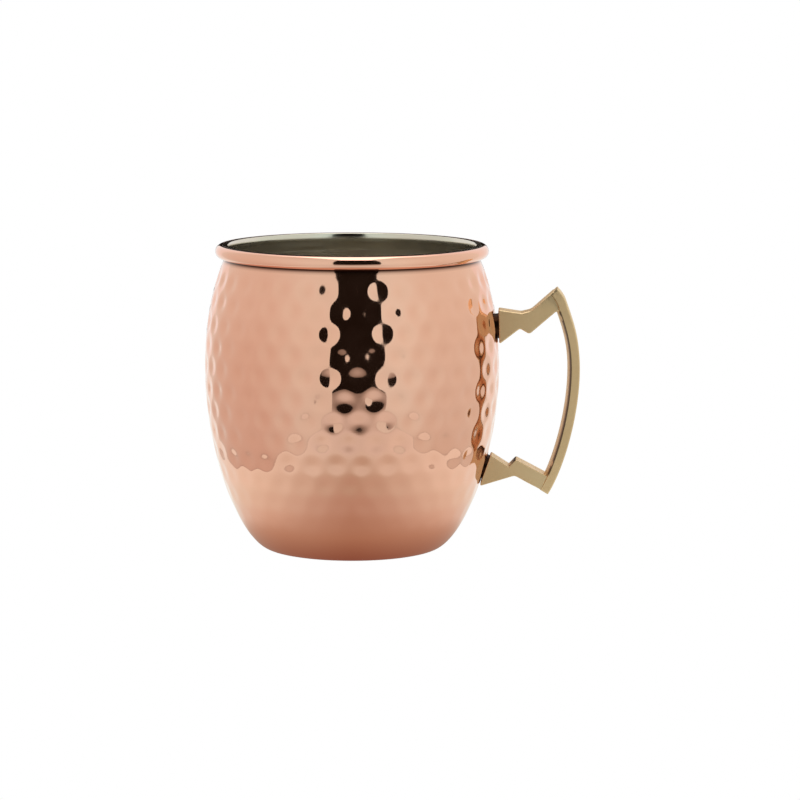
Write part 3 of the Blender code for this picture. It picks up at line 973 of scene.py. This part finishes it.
def glow_material():
    """A light surface that gives off the colour stored in its mesh."""
    material = bpy.data.materials.new("glow")
    material.use_nodes = True
    nodes, links = material.node_tree.nodes, material.node_tree.links
    nodes.clear()
    colour = nodes.new("ShaderNodeAttribute")
    colour.attribute_name = "glow"
    glow = nodes.new("ShaderNodeEmission")
    output = nodes.new("ShaderNodeOutputMaterial")
    links.new(colour.outputs["Color"], glow.inputs["Color"])
    links.new(glow.outputs["Emission"], output.inputs["Surface"])
    return material


def glowing_grid(name, points, colours, material):
    """A grid of points by row and column with a colour at each, seen in reflections only."""
    rows, columns = points.shape[:2]
    faces = [
        (r * columns + c, r * columns + c + 1, (r + 1) * columns + c + 1, (r + 1) * columns + c)
        for r in range(rows - 1)
        for c in range(columns - 1)
    ]
    mesh = bpy.data.meshes.new(name)
    mesh.from_pydata(points.reshape(-1, 3).tolist(), [], faces)
    glow = mesh.color_attributes.new(name="glow", type="FLOAT_COLOR", domain="POINT")
    rgba = np.ones((rows * columns, 4), np.float32)
    rgba[:, :3] = colours.reshape(-1, 3)
    glow.data.foreach_set("color", rgba.ravel())
    mesh.materials.append(material)
    grid = bpy.data.objects.new(name, mesh)
    bpy.context.scene.collection.objects.link(grid)
    grid.rotation_euler.z = CAMERA_AZIMUTH
    grid.visible_camera = False
    grid.visible_diffuse = False
    grid.visible_shadow = False


def standing_card(name, ends, height, colour_at, material):
    """A card on the floor between two points. colour_at takes the share of the way along and the height."""
    along = np.linspace(0.0, 1.0, CARD_COLUMNS)
    heights = np.concatenate([CARD_FOOT_ROWS, np.linspace(CARD_FIRST_ROW, height, CARD_ROWS)])
    start, end = (np.array(p) for p in ends)
    points = np.zeros((len(heights), len(along), 3))
    points[:, :, :2] = start + (end - start) * along[None, :, None]
    points[:, :, 2] = heights[:, None] + CARD_LIFT
    colours = np.array([[colour_at(u, h) for u in along] for h in heights])
    glowing_grid(name, points, colours, material)


def white_card_colour(light):
    """The colour of a white card by the share of the way along it and the height."""
    front, middle, far = (np.array(colour) for colour in light)

    def colour_at(along, height):
        warm = np.interp(along, *CARD_NEARNESS) * np.interp(height, *CARD_WARMTH)
        neutral = front * (1 - along) + far * along
        foot = 1.0 - CARD_FOOT_SHADE * math.exp(-height / CARD_FOOT_HEIGHT)
        return (neutral * (1 - warm) + middle * warm) * np.interp(height, *CARD_RISE) * foot

    return colour_at


def dark_colour(along, height):
    """The same black all over a card."""
    return np.array(BLACK)


def floor_colour(radius, angle):
    """Light off the floor near the mug, by distance and by the angle from straight before it."""
    before, beside = (
        np.array([np.interp(radius, [r for r, _ in table], [c[k] for _, c in table]) for k in range(3)])
        for table in (FLOOR_BEFORE, FLOOR_BESIDE)
    )
    share = abs(math.sin(angle)) ** FLOOR_SIDE_POWER if abs(angle) < math.pi / 2 else 1.0
    return before * (1 - share) + beside * share


def add_studio():
    """Two white cards beside the mug, dark gaps before and behind it, a pale floor and a bright sky."""
    material = glow_material()
    standing_card("left_card", LEFT_CARD, CARD_HEIGHT, white_card_colour(LEFT_CARD_LIGHT), material)
    standing_card("right_card", RIGHT_CARD, CARD_HEIGHT, white_card_colour(RIGHT_CARD_LIGHT), material)
    standing_card("front_dark", FRONT_DARK, FRONT_DARK_HEIGHT, dark_colour, material)
    standing_card("back_dark", BACK_DARK, BACK_DARK_HEIGHT, dark_colour, material)
    radii = np.geomspace(FLOOR_BEFORE[0][0], FLOOR_BEFORE[-1][0], FLOOR_RINGS)
    angles = np.linspace(-math.pi, math.pi, FLOOR_SPOKES + 1)
    points = np.array([[(r * math.sin(a), -r * math.cos(a), CARD_LIFT) for a in angles] for r in radii])
    colours = np.array([[floor_colour(r, a) for a in angles] for r in radii])
    glowing_grid("near_floor", points, colours, material)
    add_floor()
    add_sky()


def add_floor():
    """A plain white floor that gives off its own light, so no shadow falls on it."""
    side = FLOOR_HALF_SIDE
    mesh = bpy.data.meshes.new("floor")
    corners = [(-side, -side, 0.0), (side, -side, 0.0), (side, side, 0.0), (-side, side, 0.0)]
    mesh.from_pydata(corners, [], [(0, 1, 2, 3)])
    material = bpy.data.materials.new("pale_floor")
    material.use_nodes = True
    nodes, links = material.node_tree.nodes, material.node_tree.links
    nodes.clear()
    glow = nodes.new("ShaderNodeEmission")
    output = nodes.new("ShaderNodeOutputMaterial")
    links.new(glow.outputs["Emission"], output.inputs["Surface"])
    mesh.materials.append(material)
    floor = bpy.data.objects.new("floor", mesh)
    bpy.context.scene.collection.objects.link(floor)


def add_sky():
    """White all round, brighter overhead like a large soft box."""
    world = bpy.data.worlds.new("studio")
    bpy.context.scene.world = world
    world.use_nodes = True
    nodes, links = world.node_tree.nodes, world.node_tree.links
    place = nodes.new("ShaderNodeTexCoord")
    parts = nodes.new("ShaderNodeSeparateXYZ")
    links.new(place.outputs["Generated"], parts.inputs["Vector"])
    rise = map_range(world.node_tree, parts.outputs["Z"], SOFT_BOX_EDGE, SKY_STRENGTH)
    rise.interpolation_type = "SMOOTHSTEP"
    links.new(rise.outputs["Result"], nodes["Background"].inputs["Strength"])
    nodes["Background"].inputs["Color"].default_value = (1.0, 1.0, 1.0, 1.0)


def finish_cad_nodes(frame):
    """The hidden screws and washers stay as packed, with a finished steel."""
    material = fastener_material()
    for name in ("upper_handle_screw", "lower_handle_screw", "upper_screw_washer", "lower_screw_washer"):
        node = frame["nodes"][name]
        node.data.materials.clear()
        node.data.materials.append(material)


def main():
    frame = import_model()
    scene = bpy.context.scene
    scene.view_settings.view_transform = "Standard"
    hammered_shell(copper_material())
    drawn_liner(steel_material())
    cast_handle(brass_material())
    finish_cad_nodes(frame)
    add_camera()
    add_studio()
    bpy.context.view_layer.update()


main()
